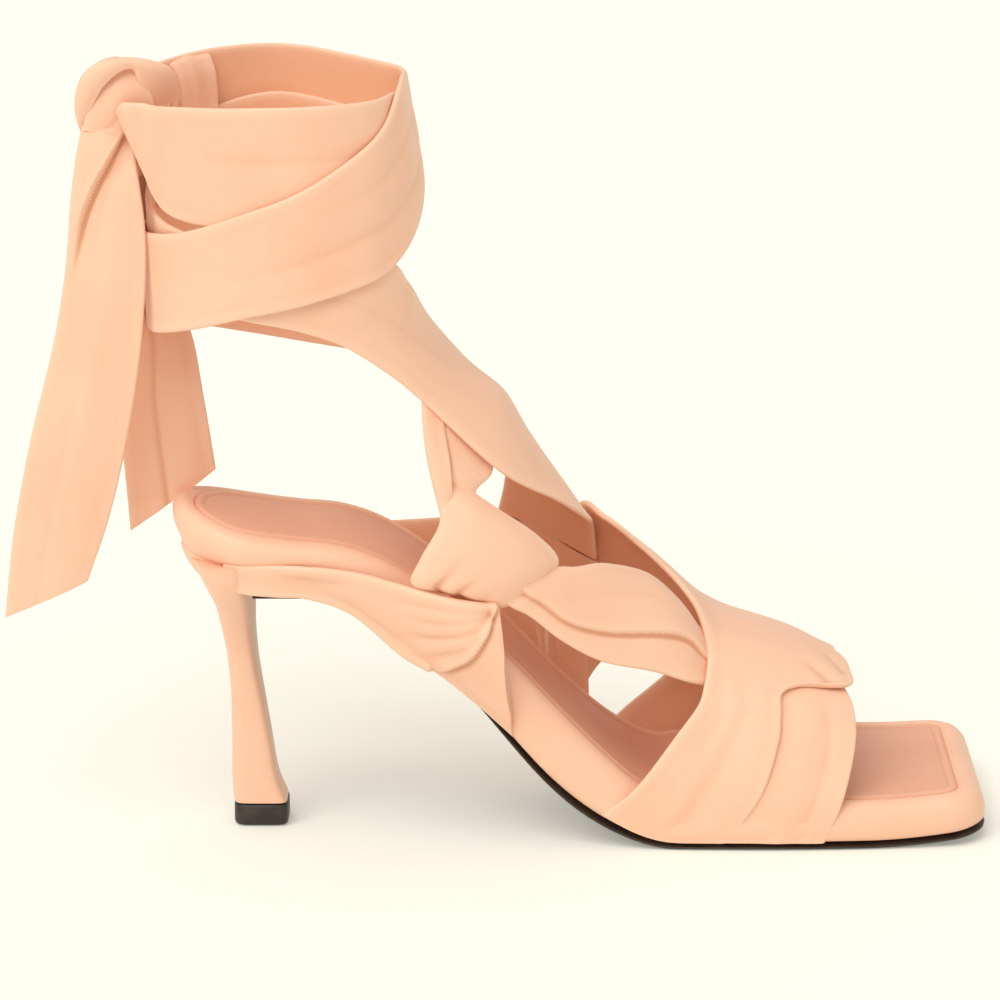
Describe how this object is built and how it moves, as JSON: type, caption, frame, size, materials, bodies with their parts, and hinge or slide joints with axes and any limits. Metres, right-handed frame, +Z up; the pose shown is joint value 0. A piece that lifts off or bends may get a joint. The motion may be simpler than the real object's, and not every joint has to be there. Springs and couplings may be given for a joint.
{
  "type": "heeled strap sandal",
  "caption": "Right high-heeled sandal with square toe, soft crossing straps, a knot on the outer side and ties wound round the ankle to a back knot with hanging ends.",
  "frame": {"origin": "on the floor, under the centre of the forefoot tread", "axes": "+X from heel to toe, +Y towards the inner side of the right foot, +Z up"},
  "size_m": [0.2771, 0.0959, 0.2222],
  "materials": {
    "outsole": "dark polished sole leather",
    "top_piece": "matt",
    "heel": "smooth satin cover",
    "footbed": "smooth satin, padded",
    "sock": "matt lining leather",
    "upper": "soft satin nappa",
    "ankle_tie": "soft satin nappa",
    "tie_ends": "soft satin nappa"
  },
  "bodies": {
    "root": {"outsole": "outsole", "top_piece": "top_piece", "heel": "heel", "footbed": "footbed", "sock": "sock", "upper": "upper", "ankle_tie": "ankle_tie", "tie_ends": "tie_ends"}
  },
  "joints": []
}
